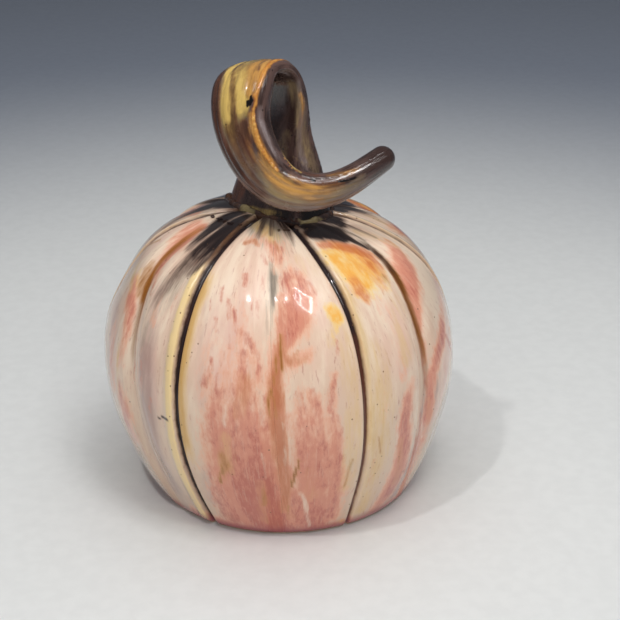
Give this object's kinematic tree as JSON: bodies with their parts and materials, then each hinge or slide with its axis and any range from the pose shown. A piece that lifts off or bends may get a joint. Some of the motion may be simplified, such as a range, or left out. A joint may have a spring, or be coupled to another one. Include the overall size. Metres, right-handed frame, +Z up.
{
  "type": "ceramic mini pumpkin",
  "caption": "Small glazed ceramic pumpkin ornament: a hollow ribbed body on a flat foot, with a pulled strap stem curled over on top.",
  "frame": {"origin": "centre of the flat foot, on the surface it stands on", "axes": "+Z up, the panel between the two front grooves faces -Y, the stem's tip points to +X"},
  "size_m": [0.0906, 0.0893, 0.1128],
  "materials": {
    "body_glaze": "glossy cream and rose glaze with brown in the grooves and amber pools",
    "stem_glaze": "glossy dark brown glaze that breaks to amber and yellow on the ridges"
  },
  "bodies": {
    "root": {"body": "body_glaze", "stem": "stem_glaze"}
  },
  "joints": []
}
